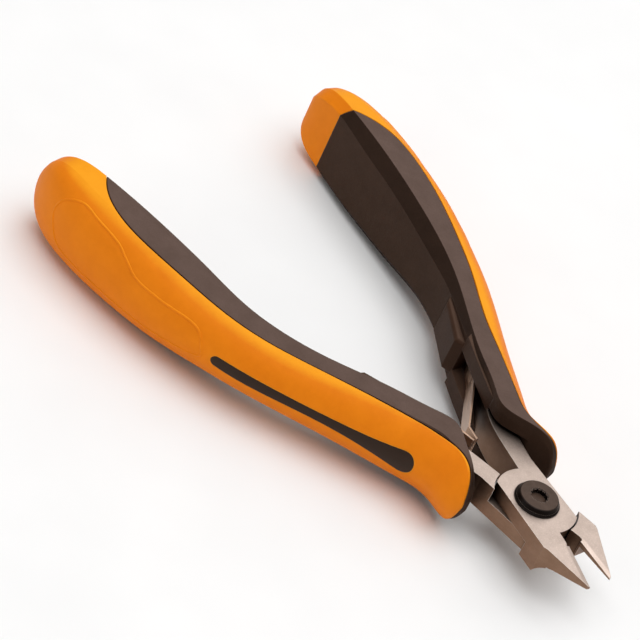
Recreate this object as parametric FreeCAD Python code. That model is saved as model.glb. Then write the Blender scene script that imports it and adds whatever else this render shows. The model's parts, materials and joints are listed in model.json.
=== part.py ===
"""Small side cutter: two lapped steel halves, a low-head pivot screw and two-colour grips.

The pliers lie flat and stand open as sprung, which is the resting value zero of every joint.
Everything is drawn about the pivot: millimetres, +Z up along the pivot axis, +X towards the
jaw tips midway between the handles, z = 0 in the lap plane. TO_TABLE then moves each piece so
that the origin is the bottom centre of the whole object's box.
"""
import FreeCAD, Part
import math
import os

V = FreeCAD.Vector

# ---- driving dimensions (mm, degrees) ----
TO_TABLE = V(49.2, 0, 10.42)
JOINT_HALF = 3.6            # half the thickness of the steel at the joint
BOSS_RADIUS = 9.1           # round lap boss of each half
SHOULDER_RADIUS = 9.45      # shoulder of the other half that runs round the boss
LAP_GAP = 0.04              # each lap face sits this far off the lap plane
TIP_X = 21.9                # jaw tips
EDGE_ANGLE = 8.1            # each cutting edge from the centre line while open
EDGE_SLOPE = math.tan(math.radians(EDGE_ANGLE))
HEEL_X = 12.5               # rear end of the cutting edges
CREASE_X = 11.6             # where the top of the jaws starts to fall to the tips
TIP_TOP = 1.05              # top of the tips above the lap plane
TIP_FLOOR = 0.25            # underside of the tips above the lap plane
TOP_FALL = (JOINT_HALF - TIP_TOP) / (TIP_X - CREASE_X)
FACET_WIDTH = 1.0           # narrow facet on top along each cutting edge
FACET_DROP = 0.2            # how much lower the facet ends at the cutting edge
FACET_START = HEEL_X - 0.4
BEVEL_START = HEEL_X + 0.4
OVERRUN = 0.6               # cutters on the jaws run this far past the tip and the edge
TANG_END = -72.0            # rear end of each tang, inside the grip
TANG_END_SIDES = (31.6, 36.6)

SHANK_RADIUS = 2.7
SHANK_RECESS = 0.3          # the shank ends this far inside the back face
SHANK_CLEARANCE = 0.05      # running fit in the upper half and the washer
HEAD_CLEARANCE = 0.05       # gap between the screw head and the washer
HEAD_RADIUS = 4.3
HEAD_FOOT_RADIUS = 4.75     # the flank of the head widens towards the washer
HEAD_HEIGHT = 0.95
HEAD_CHAMFER = 0.12
WASHER_RADIUS = 5.05
WASHER_HEIGHT = 0.6
WASHER_CHAMFER = 0.3
SOCKET_CORE_RADIUS = 1.8
SOCKET_LOBE_RADIUS = 0.25
SOCKET_LOBE_CIRCLE = 1.75
SOCKET_LOBES = 12
SOCKET_DEPTH = 1.2
SOCKET_MOUTH_RADIUS = 2.1   # plain round mouth above the lobes
SOCKET_MOUTH_DEPTH = 0.15

LEAF_THICKNESS = 0.45
LEAF_HEIGHT = 5.4
CHANNEL_HALF = 3.1          # half height of the channel each leaf swings in
HOUSING_HALF = 4.6          # half height of the spring housing
HOUSING_ROUNDING = 1.0
HOUSING_FRONT = 22.0        # level edges of the housing nearer the centre than this are rounded
RAIL_HALF = 7.0             # half height over the two rails beside the channel
RELIEF_HALF = 4.5           # half height of the recess where the tang enters the grip

BEYOND = 20.0               # reach of cutting tools past the piece they cut
INLAY_DEPTH = 0.9
SIDE_DROP = 0.5             # fall of the grip's top face from its inner to its outer edge
SEAM_WIDTH = 0.3            # groove where the two grip colours meet
SEAM_DEPTH = 0.45


def polygon_prism(points, z_low, z_high):
    """Upright solid over a closed outline given in plan."""
    wire = Part.makePolygon([V(x, y, z_low) for x, y in points + points[:1]])
    return Part.Face(wire).extrude(V(0, 0, z_high - z_low))


def cylinder(radius, z_low, z_high):
    return Part.makeCylinder(radius, z_high - z_low, V(0, 0, z_low))


def on_circle(radius, angle):
    turn = math.radians(angle)
    return (radius * math.cos(turn), radius * math.sin(turn))


def arc(radius, angle_from, angle_to):
    """Arc edge about the pivot axis, in the plane z = 0."""
    a = on_circle(radius, angle_from)
    b = on_circle(radius, (angle_from + angle_to) / 2)
    c = on_circle(radius, angle_to)
    return Part.Arc(V(a[0], a[1], 0), V(b[0], b[1], 0), V(c[0], c[1], 0)).toShape()


def plan_edge(*points):
    """Straight edge, or a smooth curve when more than two points are given, in z = 0."""
    vectors = [V(x, y, 0) for x, y in points]
    if len(vectors) == 2:
        return Part.makeLine(vectors[0], vectors[1])
    curve = Part.BSplineCurve()
    curve.interpolate(vectors)
    return curve.toShape()


def extruded(edges, z_low, z_high):
    """Upright solid over a closed chain of plan edges."""
    wire = Part.Wire(Part.__sortEdges__(edges))
    face = Part.Face(wire)
    face.translate(V(0, 0, z_low))
    return face.extrude(V(0, 0, z_high - z_low))


def mirror_y(shape):
    return shape.mirror(V(0, 0, 0), V(0, 1, 0))


def one_solid(shape):
    """The largest solid of a boolean result."""
    return max(shape.Solids, key=lambda solid: solid.Volume)


# ---- steel halves ----
TANG_INNER = [(-9.05, 2.75), (-15.0, 4.15), (-24.0, 7.5), (-29.0, 11.6), (-36.0, 17.9)]
TANG_OUTER = [(-9.8, 7.55), (-14.0, 8.8), (-24.0, 12.8), (-36.0, 21.0)]


def tang_points(side_points, end_y):
    return side_points + [(-50.0, end_y - 6.0), (TANG_END, end_y)]


def half_outline(z_low, z_high):
    """Tang at +Y, plate across the pivot, jaw at -Y; the boss is still uncut."""
    inner_end, outer_end = TANG_END_SIDES
    inner_start, outer_start = TANG_INNER[0], TANG_OUTER[0]
    front_angle = 38.0
    notch_angle = -9.5
    left_angle = 213.3
    rear_angle = math.degrees(math.atan2(inner_start[1], inner_start[0]))
    shoulder_front = (10.7, -8.05)
    tip_outer = (TIP_X - 0.25, -TIP_X * EDGE_SLOPE - 0.45)
    tip = (TIP_X, -TIP_X * EDGE_SLOPE)
    heel = (HEEL_X, -HEEL_X * EDGE_SLOPE)
    notch_front = (HEEL_X - 0.1, -2.35)
    straights = [
        [(TANG_END, inner_end), (TANG_END, outer_end)],
        [outer_start, on_circle(BOSS_RADIUS, front_angle)],
        [on_circle(BOSS_RADIUS, notch_angle), notch_front],
        [notch_front, heel],
        [heel, tip],
        [tip, tip_outer],
        [tip_outer, shoulder_front],
        [shoulder_front, on_circle(BOSS_RADIUS, left_angle)],
        [on_circle(BOSS_RADIUS, rear_angle), inner_start],
    ]
    edges = [plan_edge(*ends) for ends in straights]
    edges.append(plan_edge(*tang_points(TANG_INNER, inner_end)))
    edges.append(plan_edge(*tang_points(TANG_OUTER, outer_end)))
    edges.append(arc(BOSS_RADIUS, front_angle, notch_angle))
    edges.append(arc(BOSS_RADIUS, left_angle, rear_angle))
    return extruded(edges, z_low, z_high)


def jaw_top_cutter():
    """Removes everything above the falling top faces of a jaw."""
    far = TIP_X + OVERRUN
    profile = [
        V(CREASE_X, -BEYOND, JOINT_HALF),
        V(far, -BEYOND, JOINT_HALF - TOP_FALL * (far - CREASE_X)),
        V(far, -BEYOND, BEYOND),
        V(CREASE_X, -BEYOND, BEYOND),
    ]
    face = Part.Face(Part.makePolygon(profile + profile[:1]))
    return face.extrude(V(0, 2 * BEYOND, 0))


def jaw_floor_cutter():
    """Hollow-ground relief under the jaws: a steep curved ramp, then a nearly level floor."""
    start = V(10.6, -BEYOND, -JOINT_HALF)
    mid = V(11.9, -BEYOND, -1.7)
    level = V(14.2, -BEYOND, -0.45)
    far = V(TIP_X + OVERRUN, -BEYOND, TIP_FLOOR)
    far_low = V(far.x, -BEYOND, -BEYOND)
    start_low = V(start.x, -BEYOND, -BEYOND)
    ramp = Part.Arc(start, mid, level).toShape()
    corners = [level, far, far_low, start_low, start]
    lines = [Part.makeLine(corners[i], corners[i + 1]) for i in range(4)]
    face = Part.Face(Part.Wire([ramp] + lines))
    return face.extrude(V(0, 2 * BEYOND, 0))


def edge_facet_cutter():
    """Tilts a narrow facet of the top face down to the cutting edge of the -Y jaw."""
    slope = FACET_DROP / FACET_WIDTH
    wires = []
    for x in (FACET_START, TIP_X + OVERRUN):
        top = JOINT_HALF - TOP_FALL * (x - CREASE_X)
        outer_y = -x * EDGE_SLOPE - FACET_WIDTH
        inner_y = -x * EDGE_SLOPE + OVERRUN
        row = [V(x, outer_y, top), V(x, inner_y, top - slope * (inner_y - outer_y)),
               V(x, inner_y, BEYOND), V(x, outer_y, BEYOND)]
        wires.append(Part.makePolygon(row + row[:1]))
    return Part.makeLoft(wires, True, True)


def edge_bevel_cutter():
    """Cuts the long bevel under the cutting edge of the -Y jaw, leaving a narrow land."""
    wires = []
    for x, land_floor, outer_y, outer_floor in (
            (BEVEL_START, 1.9, -8.4, -1.3), (TIP_X + OVERRUN, 0.35, -4.1, -0.25)):
        edge_y = -x * EDGE_SLOPE
        row = [V(x, edge_y + OVERRUN, land_floor), V(x, edge_y, land_floor),
               V(x, outer_y, outer_floor), V(x, outer_y, -BEYOND),
               V(x, edge_y + OVERRUN, -BEYOND)]
        wires.append(Part.makePolygon(row + row[:1]))
    return Part.makeLoft(wires, True, True)


def steel_half(upper):
    """A half with its tang at +Y; the upper half laps over, the lower half under."""
    blank = half_outline(-JOINT_HALF, JOINT_HALF)
    blank = blank.cut(cylinder(SHOULDER_RADIUS, -BEYOND, LAP_GAP))
    hole = SHANK_RADIUS + (SHANK_CLEARANCE if upper else 0)
    blank = blank.cut(cylinder(hole, -BEYOND, BEYOND))
    if not upper:
        blank = blank.rotate(V(0, 0, 0), V(1, 0, 0), 180)
        blank = mirror_y(blank)
    blank = blank.cut(jaw_top_cutter())
    blank = blank.cut(edge_facet_cutter())
    blank = blank.cut(jaw_floor_cutter())
    blank = blank.cut(edge_bevel_cutter())
    return one_solid(blank)


# ---- pivot screw ----
def key_socket(top):
    """Lobed recess for a driver under a plain round mouth in the top of the screw head."""
    socket = cylinder(SOCKET_CORE_RADIUS, top - SOCKET_DEPTH, top + 1)
    for i in range(SOCKET_LOBES):
        x, y = on_circle(SOCKET_LOBE_CIRCLE, 360 * i / SOCKET_LOBES)
        lobe = cylinder(SOCKET_LOBE_RADIUS, top - SOCKET_DEPTH, top + 1)
        lobe.translate(V(x, y, 0))
        socket = socket.fuse(lobe)
    return socket.fuse(cylinder(SOCKET_MOUTH_RADIUS, top - SOCKET_MOUTH_DEPTH, top + 1))


def top_rim(shape, radius):
    """The full circle of the given radius round the top face."""
    top = shape.BoundBox.ZMax
    return [e for e in shape.Edges if e.BoundBox.ZMin > top - 0.01
            and abs(e.Length - 2 * math.pi * radius) < 0.01]


def pivot_screw():
    seat = JOINT_HALF + WASHER_HEIGHT + HEAD_CLEARANCE
    top = seat + HEAD_HEIGHT
    head = Part.makeCone(HEAD_FOOT_RADIUS, HEAD_RADIUS, HEAD_HEIGHT, V(0, 0, seat))
    shank = cylinder(SHANK_RADIUS, -JOINT_HALF + SHANK_RECESS, seat)
    screw = head.fuse(shank).removeSplitter()
    screw = screw.makeChamfer(HEAD_CHAMFER, top_rim(screw, HEAD_RADIUS))
    return one_solid(screw.cut(key_socket(top)))


def pivot_washer():
    ring = cylinder(WASHER_RADIUS, JOINT_HALF, JOINT_HALF + WASHER_HEIGHT)
    ring = ring.cut(cylinder(SHANK_RADIUS + SHANK_CLEARANCE, 0, BEYOND))
    return one_solid(ring.makeChamfer(WASHER_CHAMFER, top_rim(ring, WASHER_RADIUS)))


# ---- grips ----
# x, inner face y, inner face half height, top edge y, top half height,
# start of the rounded side y, crown y, crown half height, outermost y
STATIONS = [
    (-6.9, 12.4, 1.2, 12.6, 1.8, 13.2, 13.7, 0.9, 14.0),
    (-7.8, 11.9, 3.2, 12.2, 4.2, 13.6, 14.5, 2.4, 15.0),
    (-9.5, 11.6, 5.4, 12.0, 6.9, 13.4, 15.1, 3.6, 16.0),
    (-12.0, 10.5, 6.6, 11.1, 8.2, 12.6, 15.3, 3.9, 16.5),
    (-15.5, 8.9, 7.0, 9.5, 8.5, 11.9, 15.1, 4.0, 16.4),
    (-20.5, 6.8, 7.2, 7.3, 8.6, 12.1, 16.5, 3.9, 17.8),
    (-23.2, 7.3, 7.2, 7.6, 8.6, 13.3, 18.1, 3.7, 19.3),
    (-26.5, 9.1, 7.2, 9.4, 8.5, 14.9, 20.1, 3.5, 21.2),
    (-35.7, 13.3, 6.9, 14.1, 8.0, 19.7, 25.3, 3.4, 26.4),
    (-46.1, 18.8, 5.7, 20.2, 7.3, 24.9, 31.6, 3.2, 32.6),
    (-56.5, 24.3, 5.1, 26.0, 7.4, 30.9, 37.0, 3.6, 38.3),
    (-66.9, 27.5, 5.3, 29.9, 8.1, 35.4, 40.5, 4.8, 42.3),
    (-77.3, 29.5, 6.5, 32.0, 9.3, 38.6, 43.0, 6.3, 45.4),
    (-87.7, 31.3, 7.3, 33.8, 10.1, 40.6, 44.4, 7.4, 47.0),
    (-98.1, 33.0, 7.7, 35.5, 10.4, 41.8, 45.3, 8.0, 48.0),
    (-107.5, 34.9, 7.9, 37.0, 10.2, 42.3, 45.5, 7.9, 47.7),
    (-114.0, 35.8, 7.3, 38.1, 9.4, 42.0, 44.5, 7.3, 46.3),
    (-118.2, 36.8, 5.3, 39.2, 7.2, 41.7, 43.2, 5.4, 44.3),
    (-120.3, 39.2, 2.2, 40.2, 3.0, 41.4, 42.1, 1.9, 42.6),
]
SHELL_WALL = [(-4.0, 16.2), (-8.0, 13.5), (-13.5, 11.6), (-18.3, 11.8), (-24.0, 14.0), (-35.7, 19.7),
              (-46.1, 25.0), (-56.5, 31.0), (-66.9, 35.5), (-77.3, 38.7), (-87.7, 41.0),
              (-98.0, 41.4), (-105.5, 38.6), (-109.3, 34.5), (-109.5, 30.0)]


def grip_section(station):
    x, face_y, face_h, edge_y, top_h, side_y, crown_y, crown_h, out_y = station
    side_h = top_h - SIDE_DROP
    corners = [V(x, side_y, -side_h), V(x, edge_y, -top_h), V(x, face_y, -face_h),
               V(x, face_y, face_h), V(x, edge_y, top_h), V(x, side_y, side_h)]
    flats = [Part.makeLine(corners[i], corners[i + 1]) for i in range(5)]
    side = Part.BSplineCurve()
    side.interpolate([corners[5], V(x, crown_y, crown_h), V(x, out_y, 0),
                      V(x, crown_y, -crown_h), corners[0]])
    return Part.Wire(flats + [side.toShape()])


def grip_body():
    return Part.makeLoft([grip_section(s) for s in STATIONS], True, False)


def shell_region():
    """Upright region outside the colour boundary."""
    first = SHELL_WALL[0]
    last = SHELL_WALL[-1]
    outside = [last, (-130.0, last[1]), (-130.0, 60.0), (10.0, 60.0), (10.0, first[1]), first]
    edges = [plan_edge(*ends) for ends in zip(outside, outside[1:])]
    edges.append(plan_edge(*SHELL_WALL))
    return extruded(edges, -BEYOND, BEYOND)


# ---- springs and what holds them ----
LEAF_PATH = [(-40.6, 19.0), (-35.2, 14.6), (-23.0, 1.3), (-19.5, 0.5)]
HOUSING_FACE = [(-55.6, 25.2), (-53.4, 21.5), (-43.9, 15.3), (-41.4, 16.0)]
RAIL_FACE = [(-41.6, 15.9), (-35.7, 12.95), (-30.4, 10.5), (-26.5, 8.75), (-24.7, 8.1)]


def strip_outline(path, thickness):
    """Closed outline of a bent strip of even thickness around its centre line."""
    left, right = [], []
    for i, (x, y) in enumerate(path):
        before = path[max(i - 1, 0)]
        after = path[min(i + 1, len(path) - 1)]
        turns = []
        for (ax, ay), (bx, by) in ((before, (x, y)), ((x, y), after)):
            if (ax, ay) != (bx, by):
                turns.append(math.atan2(by - ay, bx - ax))
        heading = sum(turns) / len(turns)
        reach = thickness / 2 / math.cos((turns[0] - turns[-1]) / 2)
        left.append((x - reach * math.sin(heading), y + reach * math.cos(heading)))
        right.append((x + reach * math.sin(heading), y - reach * math.cos(heading)))
    return left + right[::-1]


def leaf_spring():
    outline = strip_outline(LEAF_PATH, LEAF_THICKNESS)
    return polygon_prism(outline, -LEAF_HEIGHT / 2, LEAF_HEIGHT / 2)


def spring_housing():
    """Wedge-shaped cover on the inner face with two rails beside the leaf's channel."""
    block_back = [(-41.2, 19.4), (-57.0, 28.0)]
    block = polygon_prism(HOUSING_FACE + block_back, -HOUSING_HALF, HOUSING_HALF)
    face_edges = [e for e in block.Edges
                  if e.BoundBox.ZLength < 0.01 and e.CenterOfMass.y < HOUSING_FRONT]
    block = block.makeFillet(HOUSING_ROUNDING, face_edges)
    rail_back = [(-24.7, 11.5), (-30.0, 13.0), (-36.0, 16.0), (-42.6, 19.4)]
    rails = polygon_prism(RAIL_FACE + rail_back, -RAIL_HALF, RAIL_HALF)
    channel = polygon_prism([(-41.55, 10.0), (-20.0, 0.0), (-20.0, 14.0), (-41.55, 24.0)],
                            -CHANNEL_HALF, CHANNEL_HALF)
    return one_solid(block.fuse(rails.cut(channel)))


def leaf_channel():
    """Room in the core behind the leaf, which swings towards it as the handles close."""
    return polygon_prism([(-41.6, 12.0), (-41.6, 21.0), (-34.0, 17.4), (-24.0, 12.5), (-18.0, 9.0),
                          (-18.0, 0.0)], -CHANNEL_HALF, CHANNEL_HALF)


def tang_relief():
    """Recess that leaves a shadow gap round the tang where it comes out of the nose."""
    return polygon_prism([(-24.7, 4.0), (-24.7, 12.0), (-19.0, 10.6), (-11.0, 9.4), (-11.0, 4.0)],
                         -RELIEF_HALF, RELIEF_HALF)


def seam_groove(body, region):
    """Shallow groove along the colour boundary on the top and the bottom of the grip."""
    moved = region.copy()
    moved.translate(V(0, SEAM_WIDTH, 0))
    strip = body.common(region.cut(moved))
    grooves = []
    for shift in (-SEAM_DEPTH, SEAM_DEPTH):
        lifted = body.copy()
        lifted.translate(V(0, 0, shift))
        grooves.append(strip.cut(lifted))
    return grooves[0].fuse(grooves[1])


# ---- inlay on the outer side ----
INLAY_TOP = [(-60.4, 1.6), (-45.0, 1.5), (-33.0, 1.7), (-23.0, 2.8)]
INLAY_NOSE = [(-23.0, 2.8), (-19.8, 0.4), (-22.6, -2.7)]
INLAY_FLOOR = [(-22.6, -2.7), (-33.0, -0.9), (-45.0, -0.7), (-60.4, -0.8)]
INLAY_TAIL = [(-60.4, -0.8), (-61.6, 0.4), (-60.4, 1.6)]


def inlay_region():
    edges = []
    for points in (INLAY_TOP, INLAY_NOSE, INLAY_FLOOR, INLAY_TAIL):
        vectors = [V(x, 0, z) for x, z in points]
        if len(vectors) == 3:
            edges.append(Part.Arc(*vectors).toShape())
        else:
            curve = Part.BSplineCurve()
            curve.interpolate(vectors)
            edges.append(curve.toShape())
    return Part.Face(Part.Wire(edges)).extrude(V(0, 3 * BEYOND, 0))


def grip_pieces(tang):
    """Core, shell, inlay, spring housing and leaf of the +Y grip."""
    body = grip_body()
    region = shell_region()
    sunk = body.copy()
    sunk.translate(V(0, -INLAY_DEPTH, 0))
    housing = spring_housing()
    shell = body.common(region).cut(tang).cut(seam_groove(body, region))
    inlay = one_solid(shell.common(inlay_region()).cut(sunk))
    shell = one_solid(shell.cut(inlay))
    core = body.cut(region).cut(housing).cut(leaf_channel()).cut(tang_relief())
    housing = one_solid(housing.cut(tang))
    return {
        "grip_core": one_solid(core.cut(tang)),
        "grip_shell": shell,
        "grip_inlay": inlay,
        "spring_housing": housing,
        "leaf_spring": leaf_spring(),
    }


def main():
    os.makedirs("parts", exist_ok=True)
    upper = steel_half(True)
    pieces = {
        "upper_half": upper,
        "lower_half": mirror_y(steel_half(False)),
        "pivot_screw": pivot_screw(),
        "pivot_washer": pivot_washer(),
    }
    for name, shape in grip_pieces(upper).items():
        pieces[name + "_right"] = shape
        pieces[name + "_left"] = mirror_y(shape)
    for name, shape in pieces.items():
        shape.translate(TO_TABLE)
        shape.exportStep("parts/%s.step" % name)


main()
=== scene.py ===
"""Looks of the side cutter: studio, camera, procedural materials and the raised panel beads."""
import json
import math

import bpy
from mathutils import Matrix, Vector


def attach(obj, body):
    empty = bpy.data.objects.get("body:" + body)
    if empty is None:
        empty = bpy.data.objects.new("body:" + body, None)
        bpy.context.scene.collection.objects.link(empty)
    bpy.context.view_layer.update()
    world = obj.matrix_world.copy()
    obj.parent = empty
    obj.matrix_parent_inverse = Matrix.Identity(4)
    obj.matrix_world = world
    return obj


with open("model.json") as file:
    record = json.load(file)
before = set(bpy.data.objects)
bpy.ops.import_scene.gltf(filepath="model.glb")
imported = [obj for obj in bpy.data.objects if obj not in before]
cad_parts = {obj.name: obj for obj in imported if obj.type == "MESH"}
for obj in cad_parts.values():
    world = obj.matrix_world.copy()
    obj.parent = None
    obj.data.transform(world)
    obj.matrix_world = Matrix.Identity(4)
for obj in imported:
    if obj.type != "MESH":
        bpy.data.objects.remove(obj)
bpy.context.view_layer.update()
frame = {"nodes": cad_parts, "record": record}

NODES = frame["nodes"]
MM = 0.001
PIVOT = Vector((49.2, 0, 10.42)) * MM

# Camera in metres. Its axes are unit vectors across and down the picture.
CAMERA_RIGHT = Vector((0.61292, 0.71102, 0.34464))
CAMERA_DOWN = Vector((0.66649, -0.23095, -0.70883))
CAMERA_PLACE = Vector((0.29723, -0.49348, 0.46076))
CAMERA_LENS = 192.34
CAMERA_SENSOR = 36

FLOOR_REACH = 6.0

# Name, place, size in metres and watts of each softbox.
SOFTBOXES = [
    ("overhead", (0.05, 0.0, 0.9), (1.1, 1.1), 8.0),
    ("back", (-0.15, 0.95, 0.75), (1.2, 0.8), 3.0),
    ("front_fill", (-0.3, -0.8, 0.3), (0.8, 0.5), 0.7),
]

# Outline of the raised bead on the outer side of each orange shell, as (x, z) in mm from the pivot.
PANEL = [(-104.0, 8.0), (-98.6, 7.9), (-92.0, 7.4), (-87.8, 6.1), (-83.4, 4.6), (-77.0, 4.4),
         (-68.1, 4.3), (-64.6, 1.7), (-64.8, -1.3), (-75.9, -3.6), (-90.4, -4.6), (-103.4, -4.5),
         (-107.6, -1.4), (-109.2, 2.4), (-107.9, 5.9)]
BEAD_HALF_WIDTH = 0.32 * MM
BEAD_HEIGHT = 0.24 * MM
BEAD_SINK = 0.08 * MM
BEAD_AROUND = 12        # points round the bead's section
BEAD_PER_SPAN = 14      # sections between two points of the outline
RAY_START = 70          # the rays onto a shell start this far to its side, in mm


# ---- node helpers ----
def new_material(name):
    material = bpy.data.materials.new(name)
    material.use_nodes = True
    tree = material.node_tree
    return material, tree, tree.nodes["Principled BSDF"]


def place(tree, stretch=(1, 1, 1), offset=(0, 0, 0)):
    """Object coordinates in metres, scaled along each axis and then shifted."""
    coordinates = tree.nodes.new("ShaderNodeTexCoord")
    mapping = tree.nodes.new("ShaderNodeMapping")
    mapping.inputs["Scale"].default_value = stretch
    mapping.inputs["Location"].default_value = offset
    tree.links.new(coordinates.outputs["Object"], mapping.inputs["Vector"])
    return mapping.outputs["Vector"]


def noise(tree, scale, detail=4.0, roughness=0.55, stretch=(1, 1, 1)):
    node = tree.nodes.new("ShaderNodeTexNoise")
    node.inputs["Scale"].default_value = scale
    node.inputs["Detail"].default_value = detail
    node.inputs["Roughness"].default_value = roughness
    tree.links.new(place(tree, stretch), node.inputs["Vector"])
    return node.outputs["Fac"]


def ramp(tree, source, low, high, at=(0.3, 0.7)):
    node = tree.nodes.new("ShaderNodeValToRGB")
    for element, position, colour in zip(node.color_ramp.elements, at, (low, high)):
        element.position = position
        element.color = (*colour, 1)
    tree.links.new(source, node.inputs["Fac"])
    return node.outputs["Color"]


def between(tree, source, low, high, at=(0.3, 0.7)):
    node = tree.nodes.new("ShaderNodeMapRange")
    node.inputs["From Min"].default_value = at[0]
    node.inputs["From Max"].default_value = at[1]
    node.inputs["To Min"].default_value = low
    node.inputs["To Max"].default_value = high
    tree.links.new(source, node.inputs["Value"])
    return node.outputs["Result"]


def rounded_normal(tree, radius):
    bevel = tree.nodes.new("ShaderNodeBevel")
    bevel.samples = 8
    bevel.inputs["Radius"].default_value = radius
    return bevel.outputs["Normal"]


def edge_highlight_mask(tree, rounded):
    """Near 1 where the rounded normal leaves the flat one, so on edges, and 0 on flats. It places
    painted highlights on edges.
    """
    geometry = tree.nodes.new("ShaderNodeNewGeometry")
    dot = tree.nodes.new("ShaderNodeVectorMath")
    dot.operation = "DOT_PRODUCT"
    tree.links.new(rounded, dot.inputs[0])
    tree.links.new(geometry.outputs["Normal"], dot.inputs[1])
    return between(tree, dot.outputs["Value"], 1.0, 0.0, (0.75, 0.985))


def facing_light_mask(tree, at=(0.5, 0.93)):
    """1 on faces that lie level, top or bottom, and 0 on upright ones. It splits painted lit tones
    from painted shaded tones.
    """
    coordinates = tree.nodes.new("ShaderNodeTexCoord")
    split = tree.nodes.new("ShaderNodeSeparateXYZ")
    size = tree.nodes.new("ShaderNodeMath")
    size.operation = "ABSOLUTE"
    tree.links.new(coordinates.outputs["Normal"], split.inputs["Vector"])
    tree.links.new(split.outputs["Z"], size.inputs[0])
    return between(tree, size.outputs["Value"], 0.0, 1.0, at)


def recess_shade_mask(tree, reach, at):
    """1 deep in corners and slots narrower than reach, and 0 in the open. It places painted shade in
    recesses.
    """
    occlusion = tree.nodes.new("ShaderNodeAmbientOcclusion")
    occlusion.samples = 8
    occlusion.inputs["Distance"].default_value = reach
    return between(tree, occlusion.outputs["AO"], 1.0, 0.0, at)


def mix_colour(tree, factor, first, second):
    node = tree.nodes.new("ShaderNodeMix")
    node.data_type = "RGBA"
    tree.links.new(factor, node.inputs["Factor"])
    for socket, value in (("A", first), ("B", second)):
        target = [s for s in node.inputs if s.name == socket and s.type == "RGBA"][0]
        if isinstance(value, tuple):
            target.default_value = (*value, 1)
        else:
            tree.links.new(value, target)
    return [s for s in node.outputs if s.type == "RGBA"][0]


def surface(tree, shader, colour, roughness, rounded, layers):
    """Links colour and roughness, and stacks bump layers (height, strength, depth in metres)."""
    tree.links.new(colour, shader.inputs["Base Color"])
    tree.links.new(roughness, shader.inputs["Roughness"])
    normal = rounded
    for height, strength, depth in layers:
        node = tree.nodes.new("ShaderNodeBump")
        node.inputs["Strength"].default_value = strength
        node.inputs["Distance"].default_value = depth
        tree.links.new(height, node.inputs["Height"])
        tree.links.new(normal, node.inputs["Normal"])
        normal = node.outputs["Normal"]
    tree.links.new(normal, shader.inputs["Normal"])


# ---- materials ----
def tool_steel():
    """Fine-blasted steel: level faces painted paler and sides painted darker as light falls, painted
    highlights on the edges and painted shade in the recesses.
    """
    material, tree, shader = new_material("satin_tool_steel")
    rounded = rounded_normal(tree, 0.12 * MM)
    cloud = noise(tree, 260, 9, 0.72)
    grain = noise(tree, 3200, 3)
    # Painted light: level faces are paler, as lit from above, with pale grain specks.
    level = ramp(tree, cloud, (0.44, 0.35, 0.3), (0.58, 0.47, 0.41))
    level = mix_colour(tree, between(tree, grain, 0.0, 0.4, (0.5, 0.75)), level, (0.8, 0.69, 0.62))
    # Painted shade: upright sides are darker.
    side = ramp(tree, cloud, (0.215, 0.125, 0.08), (0.275, 0.168, 0.113))
    colour = mix_colour(tree, facing_light_mask(tree), side, level)
    # Painted highlight on the edges.
    colour = mix_colour(tree, edge_highlight_mask(tree, rounded), colour, (0.85, 0.77, 0.7))
    # Painted shade, near black, deep in recesses and gaps between parts.
    recess_shade = recess_shade_mask(tree, 5.0 * MM, (0.2, 0.82))
    colour = mix_colour(tree, recess_shade, colour, (0.02, 0.011, 0.007))
    lines = noise(tree, 900, 3, 0.6, (0.12, 1.0, 1.0))
    shader.inputs["Metallic"].default_value = 1.0
    surface(tree, shader, colour, between(tree, grain, 0.38, 0.5), rounded,
            [(lines, 0.25, 0.01 * MM), (grain, 0.55, 0.018 * MM)])
    return material


def black_steel():
    """Black oxide with turning rings about the pivot axis; level faces painted lighter and flanks
    painted near black as light falls, with painted highlights on the edges and painted shade in the
    recesses.
    """
    material, tree, shader = new_material("black_oxide_steel")
    rounded = rounded_normal(tree, 0.05 * MM)
    grain = noise(tree, 3800, 3)
    # Painted light on level faces; the upright flanks get a near-black painted shade.
    level = ramp(tree, noise(tree, 500, 8, 0.7), (0.06, 0.037, 0.026), (0.09, 0.057, 0.042))
    colour = mix_colour(tree, facing_light_mask(tree, (0.8, 0.98)), (0.006, 0.003, 0.002), level)
    # Painted highlight on the edges.
    colour = mix_colour(tree, edge_highlight_mask(tree, rounded), colour, (0.42, 0.36, 0.32))
    # Painted shade deep in recesses.
    colour = mix_colour(tree, recess_shade_mask(tree, 2.0 * MM, (0.1, 0.6)), colour, (0.004, 0.002, 0.001))
    rings = tree.nodes.new("ShaderNodeTexWave")
    rings.wave_type = "RINGS"
    rings.rings_direction = "Z"
    rings.inputs["Scale"].default_value = 900
    rings.inputs["Distortion"].default_value = 0.6
    tree.links.new(place(tree, offset=-PIVOT), rings.inputs["Vector"])
    shader.inputs["Specular IOR Level"].default_value = 0.1
    surface(tree, shader, colour, between(tree, grain, 0.26, 0.4), rounded,
            [(rings.outputs["Fac"], 0.18, 0.01 * MM), (grain, 0.3, 0.01 * MM)])
    return material


def spring_steel():
    """Bright strip rolled along its length."""
    material, tree, shader = new_material("rolled_spring_steel")
    rounded = rounded_normal(tree, 0.08 * MM)
    streaks = noise(tree, 1600, 3, 0.6, (0.15, 0.15, 1.0))
    colour = ramp(tree, streaks, (0.45, 0.29, 0.2), (0.57, 0.38, 0.27), (0.35, 0.65))
    # Painted highlight on the edges.
    colour = mix_colour(tree, edge_highlight_mask(tree, rounded), colour, (0.95, 0.88, 0.82))
    # Painted shade deep in recesses.
    colour = mix_colour(tree, recess_shade_mask(tree, 3.0 * MM, (0.1, 0.55)), colour, (0.05, 0.03, 0.02))
    shader.inputs["Metallic"].default_value = 1.0
    surface(tree, shader, colour, between(tree, streaks, 0.26, 0.38), rounded,
            [(streaks, 0.3, 0.008 * MM)])
    return material


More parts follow.
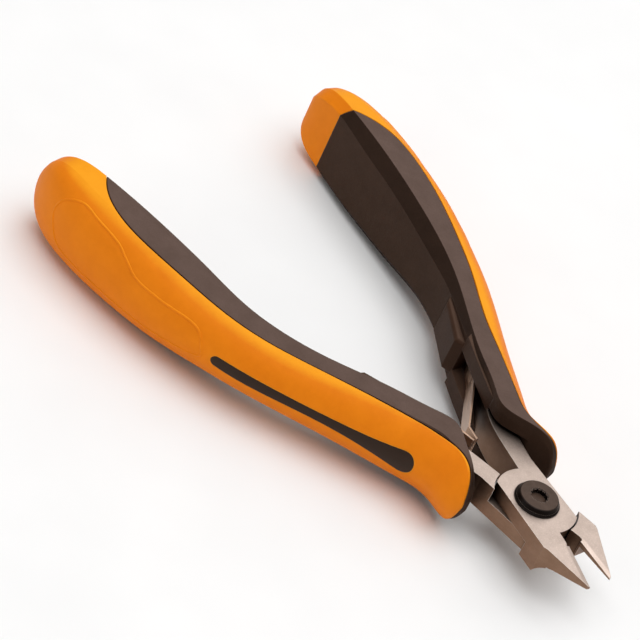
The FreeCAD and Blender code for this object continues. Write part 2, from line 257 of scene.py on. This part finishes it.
def moulded(name, level, slant, side, edge, rough, grain_scale, depth, shine):
    """Moulded plastic or rubber: a grain all over, slow tone changes and rounded edges.

    level, slant and side are the pairs of tones on level, sloping and upright faces, painted lighter
    or darker as light falls on them. edge is the colour of the painted highlight on edges and of pale
    grain specks on level faces. rough is the range of roughness, depth the grain's depth in mm, and
    shine the specular level.
    """
    material, tree, shader = new_material(name)
    rounded = rounded_normal(tree, 0.35 * MM)
    cloud = noise(tree, 160, 9, 0.7)
    grain = noise(tree, grain_scale, 3, 0.65)
    speckle = between(tree, grain, 0.0, 0.4, (0.5, 0.78))
    # Painted light: level faces get the lit tone, with pale specks of the edge colour in the grain.
    top = mix_colour(tree, speckle, ramp(tree, cloud, *level), edge)
    # Painted shade: upright faces get the shaded tone and sloping ones the slant tone.
    colour = mix_colour(tree, facing_light_mask(tree, (0.25, 0.45)),
                        ramp(tree, cloud, *side), ramp(tree, cloud, *slant))
    colour = mix_colour(tree, facing_light_mask(tree, (0.82, 0.97)), colour, top)
    # Painted highlight on the edges.
    colour = mix_colour(tree, edge_highlight_mask(tree, rounded), colour, edge)
    shader.inputs["Specular IOR Level"].default_value = shine
    shader.inputs["Specular Tint"].default_value = (1.0, 0.78, 0.64, 1)
    surface(tree, shader, colour, between(tree, grain, *rough), rounded,
            [(noise(tree, 420, 2), 0.12, 0.03 * MM), (grain, 0.45, depth * MM)])
    return material


def make_materials():
    # The level tones below are painted light, the slant and side tones painted shade, and edge a
    # painted highlight colour.
    return {
        "tool_steel": tool_steel(),
        "black_steel": black_steel(),
        "spring_steel": spring_steel(),
        "housing_plastic": moulded(
            "housing_plastic",
            level=((0.066, 0.037, 0.025), (0.084, 0.048, 0.033)),
            slant=((0.04, 0.019, 0.011), (0.052, 0.025, 0.015)),
            side=((0.04, 0.019, 0.011), (0.052, 0.025, 0.015)),
            edge=(0.09, 0.055, 0.04), rough=(0.5, 0.64),
            grain_scale=3000, depth=0.012, shine=0.12),
        "soft_dark": moulded(
            "fine_grain_soft_grip",
            level=((0.095, 0.061, 0.049), (0.124, 0.081, 0.067)),
            slant=((0.019, 0.0095, 0.006), (0.027, 0.014, 0.009)),
            side=((0.04, 0.0205, 0.0125), (0.053, 0.028, 0.018)),
            edge=(0.1, 0.065, 0.052), rough=(0.58, 0.74),
            grain_scale=2400, depth=0.07, shine=0.14),
        "orange_plastic": moulded(
            "orange_moulded_plastic",
            level=((0.88, 0.32, 0.01), (0.94, 0.36, 0.014)),
            slant=((0.79, 0.2, 0.006), (0.87, 0.24, 0.008)),
            side=((0.83, 0.215, 0.007), (0.9, 0.25, 0.009)),
            edge=(0.95, 0.38, 0.02), rough=(0.42, 0.52),
            grain_scale=2600, depth=0.007, shine=0.08),
        "inlay_dark": moulded(
            "smooth_inlay_rubber",
            level=((0.02, 0.01, 0.006), (0.028, 0.015, 0.01)),
            slant=((0.018, 0.009, 0.006), (0.026, 0.014, 0.009)),
            side=((0.018, 0.009, 0.006), (0.026, 0.014, 0.009)),
            edge=(0.04, 0.025, 0.018), rough=(0.45, 0.58),
            grain_scale=3600, depth=0.012, shine=0.3),
    }


def dress(materials):
    """Gives every CAD node the material of its slot."""
    slots = {part["node"]: part["material_slot"] for part in frame["record"]["subparts"]}
    for name, node in NODES.items():
        node.data.materials.clear()
        node.data.materials.append(materials[slots[name]])


# ---- raised bead round the panel on each orange shell ----
def smooth_loop(points):
    """Points of a smooth closed curve through the given ones."""
    loop = []
    count = len(points)
    for i in range(count):
        p0, p1, p2, p3 = (Vector(points[(i + k) % count]) for k in (-1, 0, 1, 2))
        for step in range(BEAD_PER_SPAN):
            t = step / BEAD_PER_SPAN
            loop.append(0.5 * (2 * p1 + (p2 - p0) * t + (2 * p0 - 5 * p1 + 4 * p2 - p3) * t * t
                               + (3 * p1 - p0 - 3 * p2 + p3) * t ** 3))
    return loop


def shell_points(shell, side):
    """Centre line of the bead and the shell's normals under it."""
    centres, normals = [], []
    for x, z in smooth_loop(PANEL):
        start = PIVOT + Vector((x, side * RAY_START, z)) * MM
        hit, point, normal, _ = shell.ray_cast(start, Vector((0, -side, 0)))
        if not hit:
            raise RuntimeError("the panel outline leaves the shell")
        centres.append(point - normal * BEAD_SINK)
        normals.append(normal)
    return centres, normals


def even_out(vectors, passes=4):
    """Averages neighbouring directions so that facets of the shell don't twist the bead."""
    count = len(vectors)
    for _ in range(passes):
        vectors = [(vectors[i - 1] + 2 * vectors[i] + vectors[(i + 1) % count]).normalized()
                   for i in range(count)]
    return vectors


def panel_bead(name, shell, side, material):
    """Closed tube of oval section that follows the panel's outline."""
    centres, normals = shell_points(shell, side)
    normals = even_out(normals)
    count = len(centres)
    points = []
    for i in range(count):
        along = (centres[(i + 1) % count] - centres[i - 1]).normalized()
        across = along.cross(normals[i]).normalized()
        for k in range(BEAD_AROUND):
            angle = 2 * math.pi * k / BEAD_AROUND
            points.append(centres[i] + across * BEAD_HALF_WIDTH * math.cos(angle)
                          + normals[i] * BEAD_HEIGHT * math.sin(angle))
    faces = []
    for i in range(count):
        this, after = i * BEAD_AROUND, (i + 1) % count * BEAD_AROUND
        for k in range(BEAD_AROUND):
            up = (k + 1) % BEAD_AROUND
            faces.append((this + k, after + k, after + up, this + up))
    mesh = bpy.data.meshes.new(name)
    mesh.from_pydata(points, [], faces)
    mesh.materials.append(material)
    mesh.shade_smooth()
    piece = bpy.data.objects.new(name, mesh)
    bpy.context.collection.objects.link(piece)
    return piece


def add_beads(material):
    for hand, side, body in (("right", 1, "upper_side"), ("left", -1, "lower_side")):
        bead = panel_bead("panel_bead_" + hand, NODES["grip_shell_" + hand], side, material)
        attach(bead, body)


# ---- studio ----
def floor():
    mesh = bpy.data.meshes.new("studio_floor")
    corners = [(FLOOR_REACH * x, FLOOR_REACH * y, 0) for x, y in ((-1, -1), (1, -1), (1, 1), (-1, 1))]
    mesh.from_pydata(corners, [], [(0, 1, 2, 3)])
    plane = bpy.data.objects.new("studio_floor", mesh)
    bpy.context.collection.objects.link(plane)
    material, tree, shader = new_material("pale_paper")
    tone = ramp(tree, noise(tree, 30, 2), (0.9, 0.9, 0.9), (0.93, 0.93, 0.93))
    tree.links.new(tone, shader.inputs["Base Color"])
    shader.inputs["Roughness"].default_value = 0.9
    mesh.materials.append(material)


def softbox(name, where, size, watts):
    """Rectangular area light aimed at the origin."""
    light = bpy.data.lights.new(name, "AREA")
    light.shape = "RECTANGLE"
    light.size, light.size_y = size
    light.energy = watts
    lamp = bpy.data.objects.new(name, light)
    lamp.location = where
    lamp.rotation_euler = (-Vector(where)).to_track_quat("-Z", "Y").to_euler()
    bpy.context.collection.objects.link(lamp)


def studio():
    floor()
    for box in SOFTBOXES:
        softbox(*box)
    world = bpy.data.worlds.new("studio")
    world.use_nodes = True
    background = world.node_tree.nodes["Background"]
    background.inputs["Color"].default_value = (1, 0.985, 0.97, 1)
    background.inputs["Strength"].default_value = 0.3
    bpy.context.scene.world = world
    bpy.context.scene.view_settings.view_transform = "Standard"


def camera():
    """Long lens looking down on the pliers, rolled so that the jaws point to the lower right."""
    back = -CAMERA_RIGHT.cross(CAMERA_DOWN)
    data = bpy.data.cameras.new("camera")
    data.sensor_width = CAMERA_SENSOR
    data.lens = CAMERA_LENS
    data.clip_start = 0.05
    data.clip_end = 20
    eye = bpy.data.objects.new("camera", data)
    turn = Matrix((CAMERA_RIGHT, -CAMERA_DOWN, back)).transposed().to_4x4()
    eye.matrix_world = Matrix.Translation(CAMERA_PLACE) @ turn
    bpy.context.collection.objects.link(eye)
    bpy.context.scene.camera = eye


materials = make_materials()
dress(materials)
add_beads(materials["orange_plastic"])
studio()
camera()
